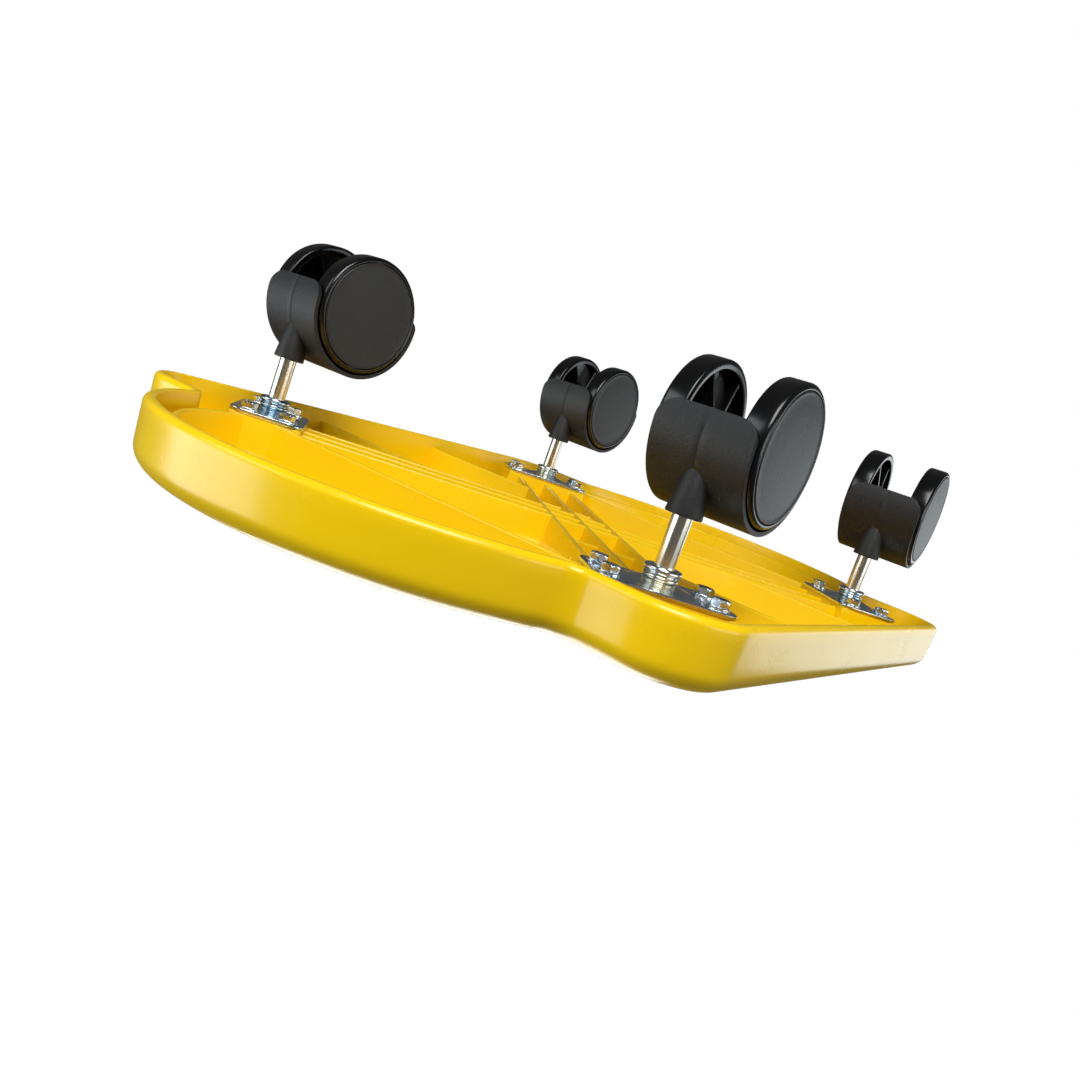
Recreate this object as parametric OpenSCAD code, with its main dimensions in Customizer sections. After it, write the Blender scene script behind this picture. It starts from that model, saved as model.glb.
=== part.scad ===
// Wheel dolly: a moulded tray carried by four twin-wheel swivel casters.
// Origin on the floor under the middle of the tray, +Z up, millimetres.

/* [Deck] */
// Height of the deck's top face above the floor
deck_top = 118; // [116:0.5:122]
// Height of the tray's open lower edge above the floor
rim_z = 90; // [88.5:0.5:92]
// Half the length of the middle block of the tray
block_x = 184; // [180:1:188]
// Half the width of the middle block of the tray
block_y = 170; // [166:1:174]
// Corner radius of the middle block
corner_r = 32; // [24:1:36]
// Distance from the middle to the centre of each round end
lobe_x = 138.5; // [134:0.5:142]
// Radius of each round end
lobe_r = 122.7; // [120:0.1:126]
// Radius in the four inward corners between block and round ends
notch_r = 10; // [9.5:0.5:10]
// Thickness of the outer wall
wall_t = 5; // [3.5:0.5:7]
// Thickness of the deck's skin
skin_t = 4; // [3:0.5:6]
// Rounding of the deck's upper outer edge
top_round = 9; // [5:0.5:12]
// Rounding of the rim's outer edge
rim_round = 3; // [1.5:0.5:4]

/* [Ribs] */
// Thickness of the ribs
rib_t = 3; // [2:0.5:5]
// Distance between the three parallel ribs of each arm
rib_gap = 20; // [16:1:22]
// Height of the ribs' lower edges above the floor
rib_z = 97; // [96:0.5:104]
// Height of the caster seats above the floor
seat_z = 95; // [94.5:0.5:96]
// Distance from a round end's outer face to its inner ridge
ridge_in = 13.5; // [12:0.5:15]
// Height of the pocket ridges' lower edges above the floor
ridge_z = 95.5; // [95.5:0.5:97]
// Distance of the pockets' straight walls from the middle
chord_x = 147; // [146:0.5:150]
// Distance of the short cross ribs from the middle
cross_x = 54; // [48:1:60]

/* [Caster plates] */
// Distance of the caster stems from the middle along X
stem_x = 131.25; // [128:0.25:134]
// Distance of the caster stems from the middle along Y
stem_y = 120; // [118:0.5:122]
// Length of a mounting plate
plate_l = 60; // [59:0.5:62]
// Width of a mounting plate
plate_w = 37; // [36:0.5:39]
// Thickness of a mounting plate
plate_t = 2; // [1.5:0.1:2.4]
// Long spacing of the plate's screws
screw_l = 46.5; // [44:0.5:48]
// Short spacing of the plate's screws
screw_w = 19; // [18:0.5:22]
// Width across flats of the screw heads
hex_af = 7; // [6:0.1:7.5]
// Height of the foot collar's lower edge above the floor
collar_z = 85.3; // [84:0.1:86.5]
// Radius of the foot collar
collar_r = 7.9; // [7:0.1:8.5]

/* [Casters] */
// Radius of the wheels
wheel_r = 30; // [29.5:0.1:30]
// Distance from the stem to the axle
trail = 23.1; // [22:0.1:24]
// Half the distance between the wheels' treads
tread_in = 12.6; // [12:0.1:14]
// Distance from the middle plane to the wheels' outer faces
tread_out = 23.5; // [23:0.1:25]
// Outer radius of the hood
hood_r = 33; // [32.6:0.1:34]
// Thickness of the hood's shell
hood_t = 2.1; // [1.8:0.1:2.1]
// Half the width of the hood
hood_w = 21.8; // [21:0.1:22.5]
// Angle of the hood's front edge below the axle
hood_front = 14; // [10:1:20]
// Angle of the hood's back edge below the axle
hood_back = 10; // [6:1:16]
// Radius of the stem
stem_r = 4.25; // [4:0.05:4.5]
// Height of the stem socket's open end above the floor
socket_z = 64.2; // [63.5:0.1:66]
// Radius of the stem socket's open end
socket_r = 7.8; // [7.2:0.1:8.2]
// Radius of the axle
axle_r = 3; // [2.5:0.1:3.2]
// Radial running clearance on stem and axle
run_c = 0.05; // [0.02:0.01:0.09]
// Swivel angle of caster A at rest
swivel_a = 0; // [-180:1:180]
// Swivel angle of caster B at rest
swivel_b = -3.8; // [-180:0.1:180]
// Swivel angle of caster C at rest
swivel_c = 3.1; // [-180:0.1:180]
// Swivel angle of caster D at rest
swivel_d = 5.9; // [-180:0.1:180]

/* [Output] */
// Sub-part to draw

/* [Hidden] */
$fn = 96;
e = 0.01;
yellow = [1.0, 0.8, 0.0];
zinc = [0.72, 0.75, 0.78];
black = [0.06, 0.06, 0.065];
grey = [0.11, 0.115, 0.12];
// centre of the inward corner rounding
notch_cx = block_x + notch_r;
notch_cy = sqrt(pow(lobe_r + notch_r, 2) - pow(notch_cx - lobe_x, 2));
// direction of the X arms
arm_ang = atan2(stem_y, stem_x);
arm_len = sqrt(stem_x * stem_x + stem_y * stem_y);
plate_z = seat_z - plate_t;
// half sizes of the blocks the plates are screwed to
seat_hl = plate_l / 2 - 0.6;
seat_hw = plate_w / 2 - 0.6;
axle_z = wheel_r;
corners = [[-1, 1, swivel_a], [1, 1, swivel_b], [1, -1, swivel_c], [-1, -1, swivel_d]];

// ---- deck ----
// tray outline, moved inward by o
module outline(o) {
  union() {
    square([2 * (block_x - corner_r), 2 * (block_y - o)], center = true);
    square([2 * (block_x - o), 2 * (block_y - corner_r)], center = true);
    for (sx = [-1, 1], sy = [-1, 1])
      translate([sx * (block_x - corner_r), sy * (block_y - corner_r)])
        circle(r = corner_r - o);
    for (sx = [-1, 1])
      translate([sx * lobe_x, 0])
        circle(r = lobe_r - o);
    for (sx = [-1, 1], sy = [-1, 1])
      difference() {
        polygon([
          [sx * (block_x - 40), sy * (notch_cy - 40)],
          [sx * (block_x - 40), sy * notch_cy],
          [sx * notch_cx, sy * notch_cy],
          [sx * (lobe_x + (notch_cx - lobe_x) * (lobe_r - 20) / (lobe_r + notch_r)),
           sy * notch_cy * (lobe_r - 20) / (lobe_r + notch_r)]]);
        translate([sx * notch_cx, sy * notch_cy])
          circle(r = notch_r + o);
      }
  }
}

// what the two edge roundings take off the wall, 0 = its outer face
module edge_cut() {
  union() {
    polygon([
      [1, deck_top + 1],
      [-top_round, deck_top + 1],
      [-top_round, deck_top],
      [-top_round * 0.5, deck_top - top_round * 0.134],
      [-top_round * 0.134, deck_top - top_round * 0.5],
      [0, deck_top - top_round],
      [1, deck_top - top_round]]);
    polygon([
      [1, rim_z - 1],
      [-rim_round, rim_z - 1],
      [-rim_round, rim_z],
      [-rim_round * 0.5, rim_z + rim_round * 0.134],
      [-rim_round * 0.134, rim_z + rim_round * 0.5],
      [0, rim_z + rim_round],
      [1, rim_z + rim_round]]);
  }
}

// straight run of the edge rounding: along X on the long sides
module edge_x(len) {
  rotate([90, 0, 90])
    linear_extrude(height = len, center = true)
      edge_cut();
}

module deck_shell() {
  difference() {
    translate([0, 0, rim_z])
      linear_extrude(height = deck_top - rim_z)
        outline(0);
    translate([0, 0, rim_z - 1])
      linear_extrude(height = deck_top - skin_t - rim_z + 1)
        outline(wall_t);
    // roundings of the long sides
    for (sy = [0, 180])
      rotate([0, 0, sy])
        translate([0, block_y, 0])
          edge_x(2 * (block_x - corner_r));
    // roundings of the block's short sides, between corner and notch
    for (sx = [-1, 1], sy = [-1, 1])
      scale([sx, sy, 1])
        translate([block_x, (block_y - corner_r + notch_cy) / 2, 0])
          rotate([90, 0, 0])
            linear_extrude(height = block_y - corner_r - notch_cy, center = true)
              edge_cut();
    // roundings of the block's corners
    for (sx = [-1, 1], sy = [-1, 1])
      scale([sx, sy, 1])
        translate([block_x - corner_r, block_y - corner_r, 0])
          rotate_extrude(angle = 90)
            translate([corner_r, 0])
              edge_cut();
    // roundings of the inward corners
    for (sx = [-1, 1], sy = [-1, 1])
      scale([sx, sy, 1])
        translate([notch_cx, notch_cy, 0])
          notch_cut();
    // roundings of the round ends
    for (sx = [0, 180])
      rotate([0, 0, sx])
        translate([lobe_x, 0, 0])
          rotate([0, 0, -lobe_half])
            rotate_extrude(angle = 2 * lobe_half)
              translate([lobe_r, 0])
                edge_cut();
  }
}

// half the angle a round end covers between its two inward corners
lobe_half = atan2(notch_cy, notch_cx - lobe_x);

module notch_cut() {
  rotate([0, 0, 180])
    rotate_extrude(angle = lobe_half)
      translate([notch_r, 0])
        scale([-1, 1])
          edge_cut();
}

// one of the two pockets in the round ends, moved inward by o: bounded by
// the ridge, a straight wall and the flanks of two caster seats
pocket_r = lobe_r - ridge_in;
module pocket(o) {
  flank = stem_x - stem_y + (seat_hl - rib_t / 2 - 0.4 + o) * sqrt(2);
  intersection() {
    translate([-lobe_x, 0])
      circle(r = pocket_r - o, $fn = 180);
    polygon([
      [-chord_x - o, chord_x + o - flank],
      [-chord_x - o - 150, chord_x + o - flank + 150],
      [-chord_x - o - 150, -chord_x - o + flank - 150],
      [-chord_x - o, -chord_x - o + flank]]);
  }
}

// the pockets' ridges and walls
module ridges_2d() {
  for (t = [0, 180])
    rotate([0, 0, t])
      difference() {
        pocket(-rib_t / 2);
        pocket(rib_t / 2);
      }
}

module ribs_2d() {
  union() {
    // three parallel ribs along each arm
    for (m = [-1, 1], k = [-1, 0, 1])
      rotate([0, 0, m * arm_ang])
        translate([-arm_len - 4, k * rib_gap - rib_t / 2])
          square([2 * arm_len + 8, rib_t]);
    // short cross ribs from the long walls to the arms
    for (sx = [-1, 1], sy = [-1, 1])
      translate([sx * cross_x - rib_t / 2, sy > 0 ? 76 : -block_y + 2])
        square([rib_t, block_y - 78]);
    // cross ribs between the parallel ribs
    for (m = [-1, 1], x = [-66, 66])
      rotate([0, 0, m * arm_ang])
        translate([x - rib_t / 2, -rib_gap])
          square([rib_t, 2 * rib_gap]);
  }
}

// places something at a caster, turned with its plate
module at_plate(i) {
  translate([corners[i][0] * stem_x, corners[i][1] * stem_y, 0])
    rotate([0, 0, -45 * corners[i][0] * corners[i][1]])
      children();
}

module screw_places() {
  for (sx = [-1, 1], sy = [-1, 1])
    translate([sx * screw_l / 2, sy * screw_w / 2, 0])
      children();
}

module deck() {
  color(yellow)
    difference() {
      union() {
        deck_shell();
        // ribs, ending in the outer wall and the skin
        intersection() {
          union() {
            translate([0, 0, rib_z])
              linear_extrude(height = deck_top - skin_t / 2 - rib_z)
                ribs_2d();
            translate([0, 0, ridge_z])
              linear_extrude(height = deck_top - skin_t / 2 - ridge_z)
                ridges_2d();
          }
          translate([0, 0, rim_z])
            linear_extrude(height = deck_top - skin_t / 2 - rim_z)
              outline(wall_t / 2);
        }
        // caster seats: blocks that stand on the skin
        for (i = [0 : 3])
          at_plate(i)
            translate([-seat_hl, -seat_hw, seat_z])
              cube([2 * seat_hl, 2 * seat_hw, deck_top - skin_t / 2 - seat_z]);
      }
      for (i = [0 : 3])
        at_plate(i)
          screw_places()
            translate([0, 0, seat_z - 1])
              cylinder(r = 2.05, h = 15);
    }
}

// ---- parts fixed to the deck ----
module plate() {
  color(zinc)
    difference() {
      union() {
        translate([0, 0, plate_z])
          linear_extrude(height = plate_t)
            difference() {
              union() {
                square([plate_l - 12, plate_w], center = true);
                square([plate_l, plate_w - 12], center = true);
                for (sx = [-1, 1], sy = [-1, 1])
                  translate([sx * (plate_l / 2 - 6), sy * (plate_w / 2 - 6)])
                    circle(r = 6);
              }
              circle(r = 14.5);
            }
        // pressed cone round the stem
        rotate_extrude()
          polygon([
            [stem_r + 0.02, plate_z - 2.2],
            [7.0, plate_z - 2.2],
            [15.0, plate_z],
            [15.0, seat_z],
            [14.2, seat_z],
            [6.8, plate_z - 0.2],
            [stem_r + 0.02, plate_z - 0.2]]);
      }
      screw_places()
        translate([0, 0, plate_z - 1])
          cylinder(r = 2.3, h = plate_t + 2);
    }
}

module screws() {
  color(zinc)
    screw_places()
      union() {
        translate([0, 0, plate_z - 0.9])
          cylinder(r = 4.6, h = 0.9);
        translate([0, 0, plate_z - 3.9])
          rotate([0, 0, 12])
            cylinder(r = hex_af / 2 / cos(30), h = 3.1, $fn = 6);
        translate([0, 0, plate_z - 0.2])
          cylinder(r = 2, h = plate_t + 12.2);
      }
}

module collar() {
  color(zinc)
    rotate_extrude()
      polygon([
        [stem_r + 0.02, collar_z],
        [collar_r - 1.2, collar_z],
        [collar_r, collar_z + 0.9],
        [collar_r, collar_z + 2.2],
        [collar_r - 1.2, collar_z + 2.9],
        [collar_r - 1.2, collar_z + 3.3],
        [collar_r - 0.5, collar_z + 3.8],
        [collar_r - 0.5, plate_z - 2.9],
        [collar_r - 1.2, plate_z - 2.2],
        [stem_r + 0.02, plate_z - 2.2]]);
}

grip_z = 52;
stem_end = 45.6;
module stem() {
  color(zinc)
    rotate_extrude()
      polygon([
        [0, stem_end],
        [stem_r - 1, stem_end],
        [stem_r, stem_end + 1],
        [stem_r, grip_z],
        [stem_r - 0.9, grip_z],
        [stem_r - 0.9, grip_z + 1.4],
        [stem_r, grip_z + 1.4],
        [stem_r, plate_z - 0.2],
        [stem_r + 1.6, plate_z - 0.2],
        [stem_r + 1.6, plate_z + 1.2],
        [stem_r, plate_z + 1.6],
        [0, plate_z + 1.6]]);
}

module grip() {
  color(zinc)
    difference() {
      translate([0, 0, grip_z + 0.1])
        cylinder(r = stem_r + 0.7, h = 1.2);
      translate([0, 0, grip_z - 1])
        cylinder(r = stem_r - 0.85, h = 4);
      translate([0, -1, grip_z - 1])
        cube([8, 2, 4]);
    }
}

// ---- swivelling parts ----
// places something at a caster, turned by its swivel angle
module at_caster(i) {
  translate([corners[i][0] * stem_x, corners[i][1] * stem_y, 0])
    rotate([0, 0, corners[i][2]])
      children();
}

// Y-axis round body from a profile of [radius, y]
module turned_y(s) {
  translate([trail, 0, axle_z])
    rotate([s > 0 ? -90 : 90, 0, 0])
      rotate_extrude()
        children();
}

module hood() {
  color(grey)
    difference() {
      union() {
        difference() {
          union() {
            // shell
            translate([trail, hood_w, axle_z])
              rotate([90, 0, 0])
                difference() {
                  cylinder(r = hood_r, h = 2 * hood_w);
                  translate([0, 0, -1])
                    cylinder(r = hood_r - hood_t, h = 2 * hood_w + 2);
                }
            // web in the middle plane
            translate([trail, 3, axle_z])
              rotate([90, 0, 0])
                cylinder(r = hood_r - 1, h = 6);
          }
          // opening towards the floor
          translate([trail, hood_w + 1, axle_z])
            rotate([90, 0, 0])
              linear_extrude(height = 2 * hood_w + 2)
                polygon([
                  [0, 0],
                  [-60 * cos(hood_front), -60 * sin(hood_front)],
                  [-60, -90],
                  [60, -90],
                  [60 * cos(hood_back), -60 * sin(hood_back)]]);
          // rounded front corners
          for (sy = [-1, 1])
            hood_corner(sy, 9, trail - 60, axle_z - hood_r * sin(hood_front));
          for (sy = [-1, 1])
            hood_corner(sy, 5, trail + 20, axle_z - hood_r * sin(hood_back));
        }
        // hub round the axle
        translate([trail, 3.2, axle_z])
          rotate([90, 0, 0])
            cylinder(r = 8, h = 6.4);
        // stem socket
        translate([0, 0, 40])
          cylinder(r1 = 5.2, r2 = socket_r, h = socket_z - 40);
      }
      translate([0, 0, stem_end - 1])
        cylinder(r = stem_r + run_c, h = 40);
      translate([0, 0, grip_z - 0.4])
        cylinder(r = stem_r + 1.1, h = 2.2);
      translate([trail, 10, axle_z])
        rotate([90, 0, 0])
          cylinder(r = axle_r, h = 20);
    }
}

module hood_corner(sy, r, x0, z0) {
  difference() {
    translate([x0, sy > 0 ? hood_w - r : -hood_w - 1, z0 - 3])
      cube([40, r + 1, r + 3]);
    translate([x0 - 1, sy * (hood_w - r + 0.3), z0 + r - 0.4])
      rotate([0, 90, 0])
        cylinder(r = r, h = 42);
  }
}

module axle() {
  color(zinc)
    translate([trail, 21.2, axle_z])
      rotate([90, 0, 0])
        cylinder(r = axle_r, h = 42.4);
}

module wheel(s) {
  color(black)
    union() {
      turned_y(s)
        polygon([
          [axle_r + run_c, 3.5],
          [6.5, 3.5],
          [6.5, 18.9],
          [26.2, 18.9],
          [26.2, tread_in],
          [wheel_r - 0.9, tread_in],
          [wheel_r, tread_in + 0.9],
          [wheel_r, tread_out - 1.6],
          [wheel_r - 1.6, tread_out],
          [27.5, tread_out],
          [27.5, 21.5],
          [axle_r + run_c, 21.5]]);
      translate([trail, 0, axle_z])
        for (k = [0 : 5])
          rotate([0, 60 * k, 0])
            translate([6, s > 0 ? tread_in + 1 : -19.2, -0.9])
              cube([20.8, 18.2 - tread_in, 1.8]);
    }
}

module disc(s) {
  color(grey)
    turned_y(s)
      polygon([
        [0, 21.6],
        [27.2, 21.6],
        [27.2, tread_out - 0.3],
        [26.4, tread_out + 0.2],
        [0, tread_out + 0.4]]);
}

module plate_a() at_plate(0) plate();
module plate_b() at_plate(1) plate();
module plate_c() at_plate(2) plate();
module plate_d() at_plate(3) plate();
module screws_a() at_plate(0) screws();
module screws_b() at_plate(1) screws();
module screws_c() at_plate(2) screws();
module screws_d() at_plate(3) screws();
module collar_a() at_plate(0) collar();
module collar_b() at_plate(1) collar();
module collar_c() at_plate(2) collar();
module collar_d() at_plate(3) collar();
module stem_a() at_plate(0) stem();
module stem_b() at_plate(1) stem();
module stem_c() at_plate(2) stem();
module stem_d() at_plate(3) stem();
module grip_a() at_plate(0) grip();
module grip_b() at_plate(1) grip();
module grip_c() at_plate(2) grip();
module grip_d() at_plate(3) grip();
module hood_a() at_caster(0) hood();
module hood_b() at_caster(1) hood();
module hood_c() at_caster(2) hood();
module hood_d() at_caster(3) hood();
module axle_a() at_caster(0) axle();
module axle_b() at_caster(1) axle();
module axle_c() at_caster(2) axle();
module axle_d() at_caster(3) axle();
module wheel_a1() at_caster(0) wheel(1);
module wheel_a2() at_caster(0) wheel(-1);
module wheel_b1() at_caster(1) wheel(1);
module wheel_b2() at_caster(1) wheel(-1);
module wheel_c1() at_caster(2) wheel(1);
module wheel_c2() at_caster(2) wheel(-1);
module wheel_d1() at_caster(3) wheel(1);
module wheel_d2() at_caster(3) wheel(-1);
module disc_a1() at_caster(0) disc(1);
module disc_a2() at_caster(0) disc(-1);
module disc_b1() at_caster(1) disc(1);
module disc_b2() at_caster(1) disc(-1);
module disc_c1() at_caster(2) disc(1);
module disc_c2() at_caster(2) disc(-1);
module disc_d1() at_caster(3) disc(1);
module disc_d2() at_caster(3) disc(-1);

deck();
plate_a();
screws_a();
collar_a();
stem_a();
grip_a();
hood_a();
axle_a();
wheel_a1();
wheel_a2();
disc_a1();
disc_a2();
plate_b();
screws_b();
collar_b();
stem_b();
grip_b();
hood_b();
axle_b();
wheel_b1();
wheel_b2();
disc_b1();
disc_b2();
plate_c();
screws_c();
collar_c();
stem_c();
grip_c();
hood_c();
axle_c();
wheel_c1();
wheel_c2();
disc_c1();
disc_c2();
plate_d();
screws_d();
collar_d();
stem_d();
grip_d();
hood_d();
axle_d();
wheel_d1();
wheel_d2();
disc_d1();
disc_d2();
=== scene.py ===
import bpy
import bmesh
import math
from mathutils import Matrix, Vector


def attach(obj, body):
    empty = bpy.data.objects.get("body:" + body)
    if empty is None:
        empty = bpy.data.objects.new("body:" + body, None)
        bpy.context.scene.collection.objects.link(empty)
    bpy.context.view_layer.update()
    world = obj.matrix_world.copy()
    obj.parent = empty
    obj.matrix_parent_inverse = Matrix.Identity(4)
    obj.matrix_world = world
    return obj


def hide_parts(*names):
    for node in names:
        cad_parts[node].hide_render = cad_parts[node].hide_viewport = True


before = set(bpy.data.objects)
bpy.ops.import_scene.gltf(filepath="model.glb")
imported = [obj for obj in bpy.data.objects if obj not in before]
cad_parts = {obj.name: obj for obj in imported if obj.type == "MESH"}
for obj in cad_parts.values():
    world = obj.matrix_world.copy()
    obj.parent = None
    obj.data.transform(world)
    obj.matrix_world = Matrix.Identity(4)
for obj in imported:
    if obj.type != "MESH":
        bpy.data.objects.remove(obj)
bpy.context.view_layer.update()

# ---------------------------------------------------------------------------
# Camera. It looks up at the ribbed underside from close to the floor, and is
# held upside down, so the dolly shows as if it lay on its deck.
cam_data = bpy.data.cameras.new("camera")
cam_data.sensor_width = 36.0
cam_data.lens = 32.82
cam_data.clip_start = 0.01
cam = bpy.data.objects.new("camera", cam_data)
bpy.context.collection.objects.link(cam)
look = Vector((0.83559, -0.53285, 0.13368)).normalized()
right = Vector((0.54441, 0.77059, -0.33138)).normalized()
up = right.cross(look).normalized()
right = look.cross(up)
cam.matrix_world = Matrix((
    (right.x, up.x, -look.x, -0.47835),
    (right.y, up.y, -look.y, 0.28330),
    (right.z, up.z, -look.z, 0.04044),
    (0, 0, 0, 1)))
bpy.context.scene.camera = cam

# ---------------------------------------------------------------------------
# Floor and light. A plain pale floor that is clear from below, a pale surround,
# and six soft light panels round, under and over the dolly.
FLOOR_HALF, FLOOR_GAP = 6.0, 0.0004
floor_mesh = bpy.data.meshes.new("floor")
floor_mesh.from_pydata([(x * FLOOR_HALF, y * FLOOR_HALF, 0) for x, y in ((-1, -1), (1, -1), (1, 1), (-1, 1))],
                       [], [(0, 1, 2, 3)])
floor = bpy.data.objects.new("floor", floor_mesh)
bpy.context.collection.objects.link(floor)
floor.location.z = -FLOOR_GAP
floor.visible_diffuse = floor.visible_glossy = floor.visible_shadow = False


def seen_white(tree, lit, white_node):
    """Plain white where the camera looks straight at it; its own light elsewhere."""
    path = tree.nodes.new("ShaderNodeLightPath")
    white = tree.nodes.new(white_node)
    white.inputs["Strength"].default_value = 1.0
    white.inputs["Color"].default_value = (1, 1, 1, 1)
    mix = tree.nodes.new("ShaderNodeMixShader")
    tree.links.new(path.outputs["Is Camera Ray"], mix.inputs[0])
    tree.links.new(lit, mix.inputs[1])
    tree.links.new(white.outputs[0], mix.inputs[2])
    return mix.outputs[0]


pale = bpy.data.materials.new("pale_floor")
pale.use_nodes = True
paper = pale.node_tree.nodes["Principled BSDF"]
paper.inputs["Base Color"].default_value = (0.62, 0.63, 0.65, 1)
paper.inputs["Roughness"].default_value = 0.8
paper.inputs["Specular IOR Level"].default_value = 0.1
from_below = pale.node_tree.nodes.new("ShaderNodeNewGeometry").outputs["Backfacing"]
clear = pale.node_tree.nodes.new("ShaderNodeBsdfTransparent").outputs[0]
one_sided = pale.node_tree.nodes.new("ShaderNodeMixShader")
top_face = seen_white(pale.node_tree, paper.outputs[0], "ShaderNodeEmission")
for start, end in ((from_below, 0), (top_face, 1), (clear, 2)):
    pale.node_tree.links.new(start, one_sided.inputs[end])
pale.node_tree.links.new(one_sided.outputs[0], pale.node_tree.nodes["Material Output"].inputs["Surface"])
floor_mesh.materials.append(pale)

world = bpy.data.worlds.new("studio")
bpy.context.scene.world = world
world.use_nodes = True
air = world.node_tree.nodes["Background"]
air.inputs["Color"].default_value = (1, 1, 1, 1)
air.inputs["Strength"].default_value = 0.09
white_air = seen_white(world.node_tree, air.outputs[0], "ShaderNodeBackground")
world.node_tree.links.new(white_air, world.node_tree.nodes["World Output"].inputs["Surface"])


def panel(name, at, to, width, height, power, tint=(1, 1, 1)):
    """A soft light panel at one point, facing another."""
    lamp = bpy.data.lights.new(name, "AREA")
    lamp.shape = "RECTANGLE"
    lamp.size = width
    lamp.size_y = height
    lamp.energy = power
    lamp.color = tint
    o = bpy.data.objects.new(name, lamp)
    bpy.context.collection.objects.link(o)
    o.location = at
    o.rotation_euler = (Vector(to) - Vector(at)).to_track_quat("-Z", "Y").to_euler()
    o.visible_camera = False


panel("panel_right", (1.45, 0.53, 0.17), (0, 0.12, 0.10), 0.74, 0.60, 2.7, (0.90, 0.97, 1.0))
panel("panel_low_left", (-1.15, -0.62, -0.52), (-0.15, 0, 0.06), 0.8, 0.5, 3.5, (0.92, 0.97, 1.0))
panel("panel_left", (-1.02, -0.78, 0.36), (-0.2, 0, 0.10), 1.05, 0.66, 9.0, (0.92, 0.97, 1.0))
panel("panel_under", (-0.75, 0.55, -0.95), (0, 0, 0.1), 0.8, 0.8, 17)
panel("panel_front", (0.25, 1.7, -0.1), (0, 0, 0.1), 1.5, 0.5, 6.5)
panel("panel_over", (0.7, -0.7, 1.6), (0, 0, 0.1), 1.2, 1.2, 22)
bpy.context.scene.view_settings.view_transform = "Standard"

# ---------------------------------------------------------------------------
# Deck. One injection-moulded tray of glossy yellow polypropylene, open side
# down: a rounded outer wall, an X of triple ribs between the caster seats,
# and a ridge round the pocket in each round end. Moulded in one shot.
MM = 0.001
BLOCK_X, BLOCK_Y, CORNER_R = 184.0, 170.0, 32.0
LOBE_X, LOBE_R, NOTCH_R = 138.5, 122.7, 10.0
RIM_Z, DECK_TOP, SEAT_Z, RIB_Z, RIDGE_Z = 90.0, 118.0, 95.0, 97.0, 95.5
FLOOR_Z, RIB_GAP, CROSS_X = 114.0, 20.0, 54.0
STEM_X, STEM_Y = 131.25, 120.0
PLATE_L, PLATE_W = 60.0, 37.0
SEAT_HL, SEAT_HW = PLATE_L / 2 - 0.6, PLATE_W / 2 - 0.6
CORNERS = ((-1, 1), (1, 1), (1, -1), (-1, -1))
notch_x = BLOCK_X + NOTCH_R
notch_y = math.sqrt((LOBE_R + NOTCH_R) ** 2 - (notch_x - LOBE_X) ** 2)
lobe_half = math.atan2(notch_y, notch_x - LOBE_X)


def arc(cx, cy, r, a0, a1, n):
    return [(cx + r * math.cos(a0 + (a1 - a0) * k / n), cy + r * math.sin(a0 + (a1 - a0) * k / n))
            for k in range(n + 1)]


def tray_outline(o):
    """The tray's outline moved inward by o, always with the same number of points."""
    q = arc(LOBE_X, 0, LOBE_R - o, 0, lobe_half, 40)
    q += arc(notch_x, notch_y, NOTCH_R + o, math.pi + lobe_half, math.pi, 10)[1:]
    q += [(BLOCK_X - o, notch_y + (BLOCK_Y - CORNER_R - notch_y) * k / 3) for k in (1, 2)]
    q += arc(BLOCK_X - CORNER_R, BLOCK_Y - CORNER_R, CORNER_R - o, 0, math.pi / 2, 16)
    q += [((BLOCK_X - CORNER_R) * (1 - k / 12), BLOCK_Y - o) for k in range(1, 13)]
    second = [(-x, y) for x, y in reversed(q[:-1])]
    half = q + second
    return half + [(-x, -y) for x, y in half[1:-1]]


class Shape:
    """Points and faces of one piece, gathered in millimetres."""

    def __init__(self):
        self.v, self.f = [], []

    def ring(self, pts, z=None):
        i = len(self.v)
        self.v += [(p[0], p[1], z) if z is not None else tuple(p) for p in pts]
        return list(range(i, i + len(pts)))

    def skin(self, a, b, closed=True):
        n = len(a)
        for k in range(n if closed else n - 1):
            j = (k + 1) % n
            self.f.append((a[k], a[j], b[j], b[k]))

    def cap(self, a):
        self.f.append(tuple(a))

    def loft(self, rings):
        for a, b in zip(rings, rings[1:]):
            self.skin(a, b)
        self.cap(list(reversed(rings[0])))
        self.cap(rings[-1])

    def turn(self, profile, n=96):
        """A body turned about Z from (radius, z) pairs; a radius of 0 closes it."""
        rings = []
        for r, z in profile:
            if r <= 1e-6:
                i = len(self.v)
                self.v.append((0.0, 0.0, z))
                rings.append([i])
            else:
                rings.append(self.ring([(r * math.cos(2 * math.pi * k / n),
                                         r * math.sin(2 * math.pi * k / n)) for k in range(n)], z))
        for a, b in zip(rings, rings[1:]):
            if len(a) == 1:
                for k in range(n):
                    self.f.append((a[0], b[(k + 1) % n], b[k]))
            elif len(b) == 1:
                for k in range(n):
                    self.f.append((a[k], a[(k + 1) % n], b[0]))
            else:
                self.skin(a, b)
        return rings

    def moved(self, matrix):
        self.v = [tuple(matrix @ Vector(p)) for p in self.v]
        return self

    def add(self, other):
        i = len(self.v)
        self.v += other.v
        self.f += [tuple(k + i for k in f) for f in other.f]
        return self


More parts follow.
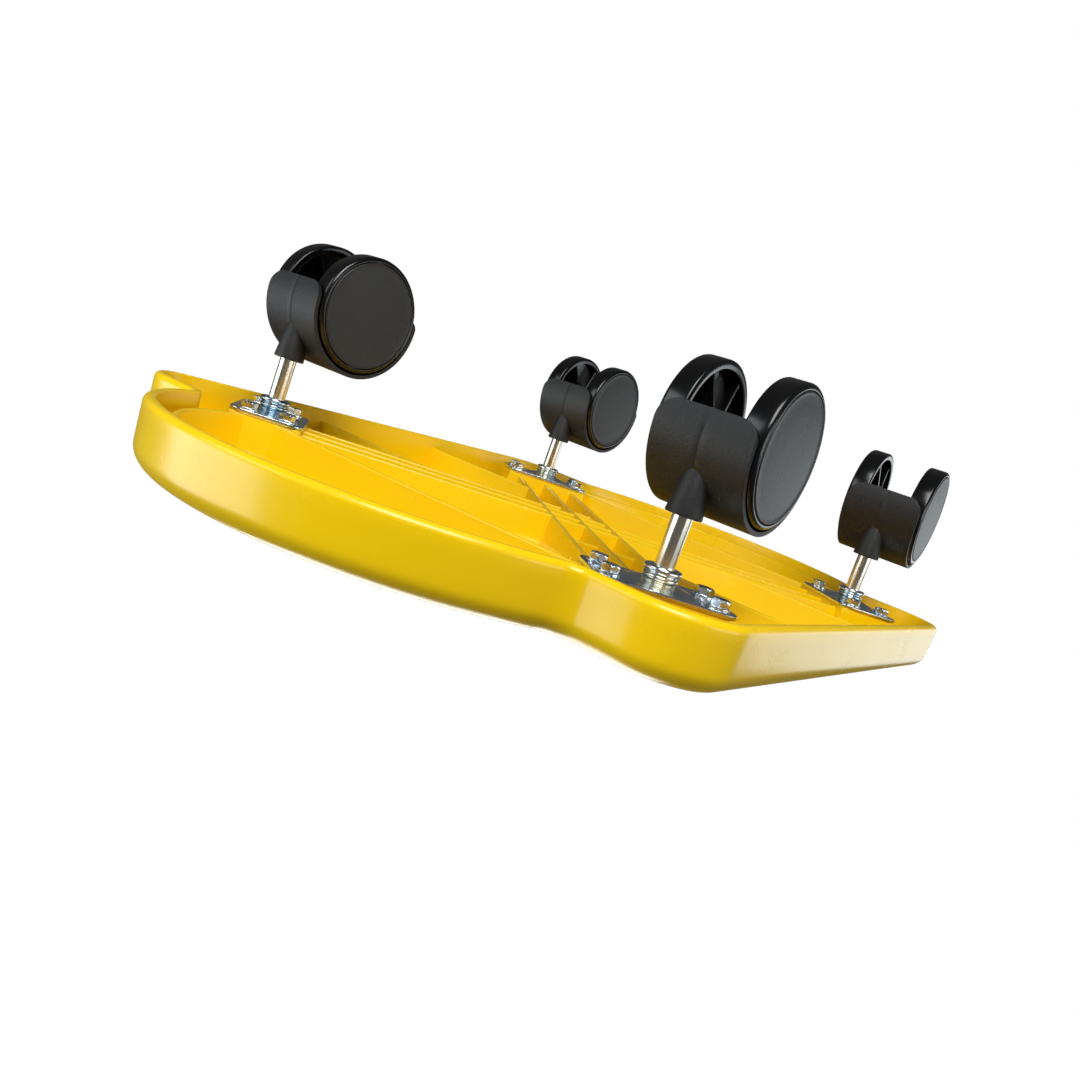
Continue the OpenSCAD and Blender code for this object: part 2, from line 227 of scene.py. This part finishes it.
def make_piece(name, shape, material, matrix=Matrix.Identity(4), sharp=38):
    me = bpy.data.meshes.new(name)
    me.from_pydata([tuple(c * MM for c in (matrix @ Vector(p))) for p in shape.v], [], shape.f)
    bm = bmesh.new()
    bm.from_mesh(me)
    bmesh.ops.remove_doubles(bm, verts=bm.verts, dist=1e-6)
    bmesh.ops.recalc_face_normals(bm, faces=bm.faces)
    bm.to_mesh(me)
    bm.free()
    me.polygons.foreach_set("use_smooth", [True] * len(me.polygons))
    me.set_sharp_from_angle(angle=math.radians(sharp))
    me.materials.append(material)
    o = bpy.data.objects.new(name, me)
    bpy.context.collection.objects.link(o)
    return o


def rib(path, closed=False, tip_z=RIB_Z, tip=1.35, foot=1.75):
    """A moulded rib with a rounded edge and a filleted foot, swept along a path."""
    section = [(-foot - 1.6, FLOOR_Z + 0.3), (-foot - 1.3, FLOOR_Z - 0.2), (-foot - 0.4, FLOOR_Z - 1.0),
               (-foot, FLOOR_Z - 2.4), (-tip, tip_z + 1.0), (-tip * 0.92, tip_z + 0.5),
               (-tip * 0.62, tip_z + 0.12), (0, tip_z)]
    section += [(-n, z) for n, z in reversed(section[:-1])]
    sh = Shape()
    count = len(path)
    rings = []
    for k in range(count):
        p = Vector(path[k])
        before = Vector(path[k - 1]) if (k > 0 or closed) else p
        after = Vector(path[(k + 1) % count]) if (k < count - 1 or closed) else p
        d1 = (p - before).normalized() if before != p else (after - p).normalized()
        d2 = (after - p).normalized() if after != p else d1
        n1, n2 = Vector((-d1.y, d1.x)), Vector((-d2.y, d2.x))
        m = (n1 + n2).normalized()
        m = m / max(m.dot(n1), 0.4)
        rings.append(sh.ring([(p.x + m.x * n, p.y + m.y * n, z) for n, z in section]))
    for a, b in zip(rings, rings[1:]):
        sh.skin(a, b)
    if closed:
        sh.skin(rings[-1], rings[0])
    else:
        sh.cap(list(reversed(rings[0])))
        sh.cap(rings[-1])
    return sh


def deck_shape():
    sh = Shape()
    rings = []

    def loop(o, z):
        rings.append(sh.ring(tray_outline(o), z))

    def draft(z):
        return 1.4 * max(0.0, z - 93.0) / 25.0

    loop(16, DECK_TOP)
    for k in range(0, 10):
        t = math.radians(10 * k)
        z = DECK_TOP - 9 + 9 * math.cos(t)
        loop(9 - 9 * math.sin(t) + draft(z), z)
    for z in (105, 101, 97):
        loop(draft(z), z)
    for k in range(0, 7):
        t = math.radians(15 * k)
        loop(3 - 3 * math.cos(t), RIM_Z + 3 - 3 * math.sin(t))
    for o, z in ((4.0, RIM_Z), (4.5, RIM_Z + 0.15), (4.85, RIM_Z + 0.5), (5.0, RIM_Z + 1),
                 (5.5, 100), (6.1, FLOOR_Z - 4), (6.4, FLOOR_Z - 2.2), (7.1, FLOOR_Z - 0.9),
                 (8.3, FLOOR_Z - 0.15), (9.5, FLOOR_Z), (16, FLOOR_Z)):
        loop(o, z)
    sh.loft(rings)
    return sh


def rounded_box(lx, ly, r, z0, z1, edge, n=8):
    """An upright block with rounded corners, its z0 edge softened."""
    def loop(o):
        pts = []
        for cx, cy, a in ((1, 1, 0), (-1, 1, 90), (-1, -1, 180), (1, -1, 270)):
            pts += arc(cx * (lx / 2 - r), cy * (ly / 2 - r), r - o, math.radians(a), math.radians(a + 90), n)
        return pts
    sh = Shape()
    rings = [sh.ring(loop(edge), z0)]
    for k in (1, 2, 3):
        t = math.radians(30 * k)
        rings.append(sh.ring(loop(edge - edge * math.sin(t)), z0 + edge - edge * math.cos(t)))
    rings.append(sh.ring(loop(0), z1))
    sh.loft(rings)
    return sh


def at_plate(i):
    """Where caster i's plate sits: its long side lies across the arm."""
    sx, sy = CORNERS[i]
    return (Matrix.Translation((sx * STEM_X, sy * STEM_Y, 0))
            @ Matrix.Rotation(math.radians(-45 * sx * sy), 4, "Z"))


arm = math.atan2(STEM_Y, STEM_X)
arm_len = math.hypot(STEM_X, STEM_Y)


def pocket_ridge(chord=147.0, inset=13.5):
    """The wall round a round end's pocket: a ridge along the outer wall and a
    straight wall across, both ending at the flanks of the caster seats."""
    big = LOBE_R - inset
    flank = -(STEM_X - STEM_Y) - (SEAT_HL - 1.9) * math.sqrt(2)
    half = (-LOBE_X - flank) / math.sqrt(2)
    turn = math.acos(-half / big)
    start = math.pi / 4 + turn
    ridge = arc(-LOBE_X, 0, big, start, 2 * math.pi - start, 72)
    top = flank + chord
    wall = [(-chord, -top * (1 - k / 6)) for k in range(0, 13)]
    return ridge + wall


class Value:
    """One shader socket; + - * on it add Math nodes."""

    def __init__(self, finish, socket):
        self.finish, self.socket = finish, socket

    def math(self, operation, a, b):
        return self.finish.node("ShaderNodeMath", {"operation": operation}, {0: a, 1: b})

    def __add__(self, b):
        return self.math("ADD", self, b)

    def __sub__(self, b):
        return self.math("SUBTRACT", self, b)

    def __mul__(self, b):
        return self.math("MULTIPLY", self, b)

    def __rsub__(self, a):
        return self.math("SUBTRACT", a, self)

    __radd__ = __add__
    __rmul__ = __mul__

    def clamp(self, low, high):
        return self.math("MINIMUM", self.math("MAXIMUM", self, low), high)


class Finish:
    """A material: node() adds any node, surface() fills the shader's sockets."""

    def __init__(self, name):
        self.material = bpy.data.materials.new(name)
        self.material.use_nodes = True
        self.tree = self.material.node_tree
        self.shader = self.tree.nodes["Principled BSDF"]
        self.place = self.node("ShaderNodeTexCoord", out="Object")

    def put(self, socket, value):
        if isinstance(value, Value):
            self.tree.links.new(value.socket, socket)
        else:
            socket.default_value = value

    def node(self, kind, settings=None, inputs=None, out=0):
        n = self.tree.nodes.new(kind)
        for key, value in (settings or {}).items():
            if key == "stops":
                ramp = n.color_ramp.elements
                for i, (at, colour) in enumerate(value):
                    e = ramp[i] if i < 2 else ramp.new(at)
                    e.position, e.color = at, colour
            else:
                setattr(n, key, value)
        for key, value in (inputs or {}).items():
            self.put(n.inputs[key], value)
        return Value(self, n.outputs[out])

    def noise(self, scale, detail=2.0, rough=0.5, where=None):
        return self.node("ShaderNodeTexNoise", {}, {
            "Vector": where or self.place, "Scale": scale, "Detail": detail, "Roughness": rough})

    def blend(self, factor, a, b):
        return self.node("ShaderNodeMix", {"data_type": "RGBA"}, {0: factor, 6: a, 7: b}, 2)

    def bump(self, height, distance, strength):
        return self.node("ShaderNodeBump", {}, {"Strength": strength, "Distance": distance, "Height": height})

    def surface(self, **sockets):
        for key, value in sockets.items():
            self.put(self.shader.inputs[key.replace("_", " ")], value)
        return self.material


yellow = Finish("yellow_polypropylene")
flow = yellow.noise(9.0, 3.0)
fine = yellow.noise(620.0, 2.0)
handling = yellow.noise(55.0, 5.0, 0.62)
yellow_plastic = yellow.surface(
    Base_Color=yellow.blend((flow * 1.6 - 0.35).clamp(0.0, 1.0),
                            (0.97, 0.62, 0.0006, 1), (1.00, 0.67, 0.0012, 1)),
    Roughness=(0.20 + handling * 0.12).clamp(0.16, 0.40),
    Specular_IOR_Level=0.5,
    Normal=yellow.bump(fine, 0.00003, 0.25))

deck = deck_shape()
for turned in (-arm, arm):
    spin = Matrix.Rotation(turned, 4, "Z")
    for k in (-1, 0, 1):
        ends = [spin @ Vector((end * (arm_len + 4), k * RIB_GAP, 0)) for end in (-1, 1)]
        deck.add(rib([tuple(e.xy) for e in ends]))
    for x in (-66, 66):
        ends = [spin @ Vector((x, side * RIB_GAP, 0)) for side in (-1, 1)]
        deck.add(rib([tuple(e.xy) for e in ends], tip_z=RIB_Z + 3))
ridge = pocket_ridge()
deck.add(rib(ridge, closed=True, tip_z=RIDGE_Z))
deck.add(rib([(-x, -y) for x, y in ridge], closed=True, tip_z=RIDGE_Z))
for sx in (-1, 1):
    for sy in (-1, 1):
        deck.add(rib([(sx * CROSS_X, sy * 76.5), (sx * CROSS_X, sy * (BLOCK_Y - 5.2))]))
for i in range(4):
    deck.add(rounded_box(2 * SEAT_HL, 2 * SEAT_HW, 1.6, SEAT_Z, FLOOR_Z + 0.4, 0.5).moved(at_plate(i)))
deck_piece = make_piece("deck_tray", deck, yellow_plastic, sharp=40)
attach(deck_piece, "frame")
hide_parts("deck")

# ---------------------------------------------------------------------------
# Mounting plates. Pressed from 2 mm steel and zinc plated, with a cone drawn
# up round the stem; four screws hold each one to its seat.
zinc = Finish("bluish_zinc")
cloud = zinc.noise(70.0, 3.0, 0.55)
grain = zinc.noise(900.0, 2.0)
tint = zinc.node("ShaderNodeValToRGB", {"stops": [
    (0.30, (0.34, 0.52, 0.66, 1)), (0.50, (0.72, 0.80, 0.86, 1)), (0.70, (0.86, 0.80, 0.56, 1))]},
    {"Fac": cloud})
zinc_plate = zinc.surface(
    Base_Color=tint, Metallic=1.0,
    Roughness=(0.10 + cloud * 0.14 + grain * 0.05).clamp(0.10, 0.4),
    Normal=zinc.bump(cloud * 1.0 + grain * 0.15, 0.00035, 0.6))


def across(l, w, r, n):
    """Distance from the middle to a rounded rectangle's edge, for n directions."""
    out = []
    for k in range(n):
        c, s_ = math.cos(2 * math.pi * k / n), math.sin(2 * math.pi * k / n)
        lo, hi = 0.0, l
        for _ in range(40):
            m = (lo + hi) / 2
            qx, qy = max(abs(m * c) - (l / 2 - r), 0), max(abs(m * s_) - (w / 2 - r), 0)
            inside = math.hypot(qx, qy) <= r and abs(m * c) <= l / 2 and abs(m * s_) <= w / 2
            lo, hi = (m, hi) if inside else (lo, m)
        out.append((lo * c, lo * s_))
    return out


def plate_shape(n=144):
    sh = Shape()

    def circle(r, z):
        return sh.ring([(r * math.cos(2 * math.pi * k / n), r * math.sin(2 * math.pi * k / n))
                        for k in range(n)], z)

    def edge(o, z):
        return sh.ring(across(PLATE_L - 2 * o, PLATE_W - 2 * o, 6 - o, n), z)

    rings = [circle(14.2, 95.0), edge(0.4, 95.0), edge(0.12, 94.9), edge(0, 94.6), edge(0, 93.4),
             edge(0.12, 93.1), edge(0.4, 93.0), edge(2.5, 93.0), circle(17.0, 93.0),
             circle(15.6, 92.94), circle(14.6, 92.78), circle(12.5, 92.25), circle(10.0, 91.6),
             circle(8.0, 91.08), circle(7.2, 90.9), circle(6.6, 90.82), circle(4.27, 90.8),
             circle(4.27, 92.8), circle(6.8, 92.8)]
    for a, b in zip(rings, rings[1:]):
        sh.skin(a, b)
    sh.skin(rings[-1], rings[0])
    return sh


plate = plate_shape()
for i, k in enumerate("abcd"):
    o = make_piece("plate_piece_" + k, plate, zinc_plate, at_plate(i), sharp=45)
    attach(o, "frame")
    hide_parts("plate_" + k)

# ---------------------------------------------------------------------------
# Screws. Cold-headed hex screws with a flange, zinc plated, driven through
# the plate into the deck's bosses, each stopped at its own angle.


def screw_shape(n=48):
    def hexagon(limit):
        pts = []
        for k in range(n):
            a = 2 * math.pi * k / n
            r = 3.5 / math.cos((a + math.pi / 6) % (math.pi / 3) - math.pi / 6)
            pts.append((min(r, limit) * math.cos(a), min(r, limit) * math.sin(a)))
        return pts
    sh = Shape()
    sh.v.append((0, 0, 89.5))
    rings = [[0]]
    for limit, z in ((2.3, 89.45), (2.7, 89.12), (3.25, 89.1), (3.6, 89.2), (3.85, 89.42), (4.05, 89.9),
                     (4.05, 91.9), (3.95, 92.02)):
        rings.append(sh.ring(hexagon(limit), z))
    for r, z in ((4.3, 92.08), (4.52, 92.2), (4.6, 92.4), (4.6, 92.98), (2.0, 93.0), (2.0, 104.6),
                 (1.0, 106.2)):
        rings.append(sh.ring([(r * math.cos(2 * math.pi * k / n), r * math.sin(2 * math.pi * k / n))
                              for k in range(n)], z))
    for k in range(n):
        sh.f.append((0, rings[1][(k + 1) % n], rings[1][k]))
    for a, b in zip(rings[1:], rings[2:]):
        sh.skin(a, b)
    sh.cap(rings[-1])
    return sh


def node_tool(name, sizes):
    """An empty Geometry Nodes tree with one geometry input and named sizes."""
    t = bpy.data.node_groups.new(name, "GeometryNodeTree")
    t.interface.new_socket("Geometry", in_out="INPUT", socket_type="NodeSocketGeometry")
    for key, value in sizes.items():
        kind = "NodeSocketInt" if isinstance(value, int) else "NodeSocketFloat"
        t.interface.new_socket(key, in_out="INPUT", socket_type=kind).default_value = value
    t.interface.new_socket("Geometry", in_out="OUTPUT", socket_type="NodeSocketGeometry")
    return t, t.nodes.new("NodeGroupInput"), t.nodes.new("NodeGroupOutput")


def run_tool(name, shape, tree, material, sizes, sharp):
    """Runs the tree on a shape and gives back the finished mesh."""
    source = make_piece(name + "_source", shape, material, sharp=sharp)
    mod = source.modifiers.new("tool", "NODES")
    mod.node_group = tree
    for item in tree.interface.items_tree:
        if item.in_out == "INPUT" and item.name in sizes:
            mod[item.identifier] = sizes[item.name]
    deps = bpy.context.evaluated_depsgraph_get()
    me = bpy.data.meshes.new_from_object(source.evaluated_get(deps))
    source.modifiers.clear()
    bpy.data.objects.remove(source)
    return me


screw_tree, g_in, g_out = node_tool(
    "four_screws", {"Long spacing": 0.0465, "Short spacing": 0.019, "Seed": 3})
grid = screw_tree.nodes.new("GeometryNodeMeshGrid")
grid.inputs["Vertices X"].default_value = 2
grid.inputs["Vertices Y"].default_value = 2
angle = screw_tree.nodes.new("FunctionNodeRandomValue")
angle.inputs[3].default_value = 6.28
axis = screw_tree.nodes.new("ShaderNodeCombineXYZ")
put = screw_tree.nodes.new("GeometryNodeInstanceOnPoints")
real = screw_tree.nodes.new("GeometryNodeRealizeInstances")
paint = screw_tree.nodes.new("GeometryNodeSetMaterial")
paint.inputs["Material"].default_value = zinc_plate
for a, b in ((g_in.outputs["Long spacing"], grid.inputs["Size X"]),
             (g_in.outputs["Short spacing"], grid.inputs["Size Y"]),
             (g_in.outputs["Seed"], angle.inputs["Seed"]),
             (angle.outputs[1], axis.inputs["Z"]),
             (grid.outputs["Mesh"], put.inputs["Points"]),
             (g_in.outputs["Geometry"], put.inputs["Instance"]),
             (axis.outputs[0], put.inputs["Rotation"]),
             (put.outputs[0], real.inputs[0]),
             (real.outputs[0], paint.inputs["Geometry"]),
             (paint.outputs[0], g_out.inputs["Geometry"])):
    screw_tree.links.new(a, b)

for i, k in enumerate("abcd"):
    me = run_tool("screws", screw_shape(), screw_tree, zinc_plate, {"Seed": i + 3}, 32)
    place = at_plate(i)
    place.translation *= MM
    me.transform(place)
    me.name = "screws_piece_" + k
    o = bpy.data.objects.new("screws_piece_" + k, me)
    bpy.context.collection.objects.link(o)
    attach(o, "frame")
    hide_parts("screws_" + k)

# ---------------------------------------------------------------------------
# Foot collars. Turned steel, zinc plated: two stacked rings pressed on the
# foot of the stem, which clamp it to the cone of the plate.
collar = Shape()
collar_rings = collar.turn([
    (4.3, 85.3), (6.6, 85.3), (7.2, 85.42), (7.65, 85.75), (7.88, 86.3), (7.9, 86.9), (7.78, 87.5),
    (7.4, 87.95), (6.9, 88.15), (6.55, 88.3), (6.6, 88.5), (7.0, 88.75), (7.3, 89.2), (7.4, 89.7),
    (7.25, 90.2), (6.9, 90.55), (6.5, 90.75), (4.3, 90.78)], 72)
collar.skin(collar_rings[-1], collar_rings[0])
for i, k in enumerate("abcd"):
    o = make_piece("collar_piece_" + k, collar, zinc_plate, at_plate(i), sharp=50)
    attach(o, "frame")
    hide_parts("collar_" + k)

# ---------------------------------------------------------------------------
# Stems. A drawn steel pin, zinc plated and polished along its length, riveted
# in the plate; the hood turns on it.
bright = Finish("drawn_zinc_pin")
streak_at = bright.node("ShaderNodeVectorMath", {"operation": "MULTIPLY"},
                        {0: bright.place, 1: (1.0, 1.0, 0.06)})
streak = bright.noise(1400.0, 2.0, where=streak_at)
haze = bright.noise(60.0, 2.0)
drawn_pin = bright.surface(
    Base_Color=bright.blend(haze, (0.72, 0.76, 0.76, 1), (0.88, 0.83, 0.66, 1)), Metallic=1.0,
    Roughness=(0.16 + streak * 0.14).clamp(0.14, 0.4),
    Normal=bright.bump(streak, 0.00003, 0.5))
pin = Shape()
pin.turn([(0, 45.6), (3.0, 45.6), (3.6, 45.75), (4.0, 46.2), (4.22, 47), (4.25, 47.6), (4.25, 52), (3.35, 52),
          (3.35, 53.4), (4.25, 53.4), (4.25, 92.8), (5.85, 92.8), (5.85, 94.0), (4.25, 94.6), (0, 94.6)], 64)
for i, k in enumerate("abcd"):
    o = make_piece("stem_piece_" + k, pin, drawn_pin, at_plate(i), sharp=40)
    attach(o, "frame")
    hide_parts("stem_" + k)

# ---------------------------------------------------------------------------
# Grip rings. Split rings of spring steel in the stem's groove, deep inside
# the socket; the CAD shape is kept.
for k in "abcd":
    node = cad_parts["grip_" + k]
    node.data.materials.clear()
    node.data.materials.append(zinc_plate)

# ---------------------------------------------------------------------------
# Hoods. Black nylon with a fine spark-textured outside, moulded in two halves
# that leave a parting line; the socket for the stem and the web for the axle
# are part of it.
TRAIL, AXLE_Z, HOOD_R, HOOD_T, HOOD_W = 23.1, 30.0, 33.0, 2.1, 21.8
SWIVEL = {"a": 0.0, "b": -3.8, "c": 3.1, "d": 5.9}


def at_caster(k):
    sx, sy = CORNERS["abcd".index(k)]
    return (Matrix.Translation((sx * STEM_X, sy * STEM_Y, 0))
            @ Matrix.Rotation(math.radians(SWIVEL[k]), 4, "Z"))


textured = Finish("textured_black_nylon")
spark = textured.noise(1500.0, 2.0, 0.6)
coarse = textured.noise(620.0, 2.0, 0.5)
shade = textured.noise(38.0, 3.0)
hood_plastic = textured.surface(
    Base_Color=textured.blend(shade, (0.0055, 0.0060, 0.0066, 1), (0.0085, 0.0091, 0.0100, 1)),
    Roughness=(0.40 + spark * 0.22).clamp(0.3, 0.75),
    Specular_IOR_Level=0.5,
    Normal=textured.bump(spark * 0.6 + coarse * 0.7, 0.00022, 0.75))


def hood_shell():
    """The curved shell, its two layers and edges, with rounded corners."""
    front, back = math.radians(-14), math.radians(190)
    edge = [9 * (1 - math.cos(math.radians(11.25 * j))) for j in range(9)]
    ys = [HOOD_W - e for e in edge] + [9.0, 6.0, 3.0, 0.35, 0.12]
    ys = ys + [-y for y in reversed(ys)]

    def back_off(r, e):
        return r - math.sqrt(max(r * r - (r - min(e, r)) ** 2, 0.0))

    steps = 84
    layers = []
    sh = Shape()
    for radius in (HOOD_R, HOOD_R - HOOD_T):
        rows = []
        for y in ys:
            e = HOOD_W - abs(y)
            a0 = front + back_off(9.0, e) / HOOD_R
            a1 = back - back_off(5.0, e) / HOOD_R
            seam = 0.10 if (abs(y) < 0.2 and radius == HOOD_R) else 0.0
            row = []
            for j in range(steps + 1):
                a = a0 + (a1 - a0) * j / steps
                r = radius - seam
                row.append((TRAIL - r * math.cos(a), y, AXLE_Z + r * math.sin(a)))
            rows.append(sh.ring(row))
        layers.append(rows)
    outer, inner = layers
    for a, b in zip(outer, outer[1:]):
        sh.skin(a, b, closed=False)
    for a, b in zip(inner, inner[1:]):
        sh.skin(b, a, closed=False)

    def border(rows):
        return (rows[0] + [r[-1] for r in rows[1:]] + list(reversed(rows[-1]))[1:]
                + [r[0] for r in reversed(rows[1:-1])])

    sh.skin(border(inner), border(outer))
    return sh


def hood_web():
    """The middle web, from the shell down to the hub round the axle."""
    pts = [(TRAIL - 32 * math.cos(math.radians(a)), AXLE_Z + 32 * math.sin(math.radians(a)))
           for a in range(-12, 190, 3)]
    pts += [(TRAIL - 8 * math.cos(math.radians(a)), AXLE_Z + 8 * math.sin(math.radians(a)))
            for a in range(198, 346, 8)]
    sh = Shape()
    rings = []
    for y in (-3.0, 3.0):
        rings.append(sh.ring([(x, y, z) for x, z in pts]))
    sh.loft(rings)
    return sh


hood = hood_shell()
hood.add(hood_web())
socket = Shape()
socket.turn([(0, 41), (5.0, 41), (5.35, 42), (7.62, 63.2), (7.66, 63.7), (7.55, 64.05), (7.3, 64.2),
             (4.8, 64.2), (4.5, 64.1), (4.32, 63.8), (4.32, 58), (0, 58)], 72)
hood.add(socket)
hub = Shape()
hub.turn([(3.0, -3.2), (7.6, -3.2), (8.0, -2.8), (8.0, 2.8), (7.6, 3.2), (3.0, 3.2)], 48)
hood.add(hub.moved(Matrix.Translation((TRAIL, 0, AXLE_Z)) @ Matrix.Rotation(math.radians(90), 4, "X")))
for k in "abcd":
    o = make_piece("hood_piece_" + k, hood, hood_plastic, at_caster(k), sharp=35)
    soften = o.modifiers.new("soft_edges", "BEVEL")
    soften.width = 0.45 * MM
    soften.segments = 3
    soften.limit_method = "ANGLE"
    soften.angle_limit = math.radians(55)
    soften.harden_normals = True
    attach(o, "caster_" + k)
    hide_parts("hood_" + k)

# ---------------------------------------------------------------------------
# Axles. Steel pins pressed through the web; the CAD shape is kept.
for k in "abcd":
    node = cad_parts["axle_" + k]
    node.data.materials.clear()
    node.data.materials.append(drawn_pin)

# ---------------------------------------------------------------------------
# Wheels. Black nylon, moulded with a smooth tread, a thin outer face and six
# spokes inside; a disc is snapped into the recess of the outer face.
SPOKES = 6
smooth_black = Finish("smooth_black_nylon")
wear = smooth_black.noise(140.0, 4.0, 0.6)
wheel_plastic = smooth_black.surface(
    Base_Color=smooth_black.blend(wear, (0.0015, 0.0016, 0.0018, 1), (0.0030, 0.0032, 0.0036, 1)),
    Roughness=(0.12 + wear * 0.16).clamp(0.10, 0.5),
    Specular_IOR_Level=0.5,
    Normal=smooth_black.bump(wear, 0.00006, 0.4))
wheel_profile = [
    (3.05, 3.5), (6.1, 3.5), (6.4, 3.7), (6.5, 4.1), (6.5, 17.9), (6.9, 18.6), (7.6, 18.9), (25.2, 18.9),
    (25.9, 18.6), (26.2, 17.9), (26.2, 13.1), (26.35, 12.75), (26.7, 12.6), (29.0, 12.6), (29.5, 12.75),
    (29.85, 13.1), (30.0, 13.6), (30.0, 21.6), (29.85, 22.3), (29.4, 22.95), (28.8, 23.35), (28.2, 23.5),
    (27.75, 23.5), (27.55, 23.4), (27.5, 23.2), (27.5, 21.5), (3.05, 21.5)]

spoke_tree, s_in, s_out = node_tool("wheel_spokes", {"Spokes": SPOKES})
line = spoke_tree.nodes.new("GeometryNodePoints")
index = spoke_tree.nodes.new("GeometryNodeInputIndex")
turn_by = spoke_tree.nodes.new("ShaderNodeMath")
turn_by.operation = "MULTIPLY"
turn_by.inputs[1].default_value = 2 * math.pi / SPOKES
axis = spoke_tree.nodes.new("ShaderNodeCombineXYZ")
put = spoke_tree.nodes.new("GeometryNodeInstanceOnPoints")
real = spoke_tree.nodes.new("GeometryNodeRealizeInstances")
paint = spoke_tree.nodes.new("GeometryNodeSetMaterial")
paint.inputs["Material"].default_value = wheel_plastic
for a, b in ((s_in.outputs["Spokes"], line.inputs["Count"]),
             (index.outputs[0], turn_by.inputs[0]),
             (turn_by.outputs[0], axis.inputs["Z"]),
             (line.outputs[0], put.inputs["Points"]),
             (s_in.outputs["Geometry"], put.inputs["Instance"]),
             (axis.outputs[0], put.inputs["Rotation"]),
             (put.outputs[0], real.inputs[0]),
             (real.outputs[0], paint.inputs["Geometry"]),
             (paint.outputs[0], s_out.inputs["Geometry"])):
    spoke_tree.links.new(a, b)
spoke = Shape()
spoke_rings = []
for r in (6.2, 9.0, 23.5, 26.6):
    w = 1.15 if r in (6.2, 26.6) else 0.8
    low = 13.6 if r > 9 else 12.0
    spoke_rings.append(spoke.ring([(r, -w, 19.2), (r, -w, low + 0.3), (r, -w + 0.3, low), (r, w - 0.3, low),
                                   (r, w, low + 0.3), (r, w, 19.2)]))
spoke.loft(spoke_rings)

# ---------------------------------------------------------------------------
# Cover discs. Thin snap-in discs of the same nylon as the hoods, with a fine
# texture and a raised edge, one on each wheel's outer face.
disc_finish = Finish("textured_disc_nylon")
peel = disc_finish.noise(1100.0, 2.0, 0.6)
patch = disc_finish.noise(30.0, 2.0)
disc_plastic = disc_finish.surface(
    Base_Color=disc_finish.blend(patch, (0.0110, 0.0124, 0.0145, 1), (0.0170, 0.0186, 0.0215, 1)),
    Roughness=(0.36 + peel * 0.16).clamp(0.3, 0.7),
    Specular_IOR_Level=0.5,
    Normal=disc_finish.bump(peel, 0.00014, 0.6))
disc_profile = [(0, 21.6), (27.1, 21.6), (27.2, 21.8), (27.2, 23.3), (27.05, 23.62), (26.7, 23.8),
                (26.3, 23.78), (25.9, 23.6), (25.4, 23.55), (22, 23.7), (16, 23.82), (9, 23.88), (0, 23.9)]

for k in "abcd":
    for n, s_ in (("1", 1), ("2", -1)):
        lay = Matrix.Translation((TRAIL, 0, AXLE_Z)) @ Matrix.Rotation(math.radians(-90 * s_), 4, "X")
        place = at_caster(k) @ lay
        me = run_tool("spokes", spoke, spoke_tree, wheel_plastic, {"Spokes": SPOKES}, 35)
        inner = Shape()
        inner.v = [tuple(v.co / MM) for v in me.vertices]
        inner.f = [tuple(p.vertices) for p in me.polygons]
        body = Shape()
        rings = body.turn(wheel_profile, 120)
        body.skin(rings[-1], rings[0])
        body.add(inner)
        o = make_piece("wheel_piece_" + k + n, body, wheel_plastic, place, sharp=38)
        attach(o, "wheel_" + k + n)
        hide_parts("wheel_" + k + n)
        cover = Shape()
        cover.turn(disc_profile, 120)
        o = make_piece("disc_piece_" + k + n, cover, disc_plastic, place, sharp=38)
        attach(o, "wheel_" + k + n)
        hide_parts("disc_" + k + n)
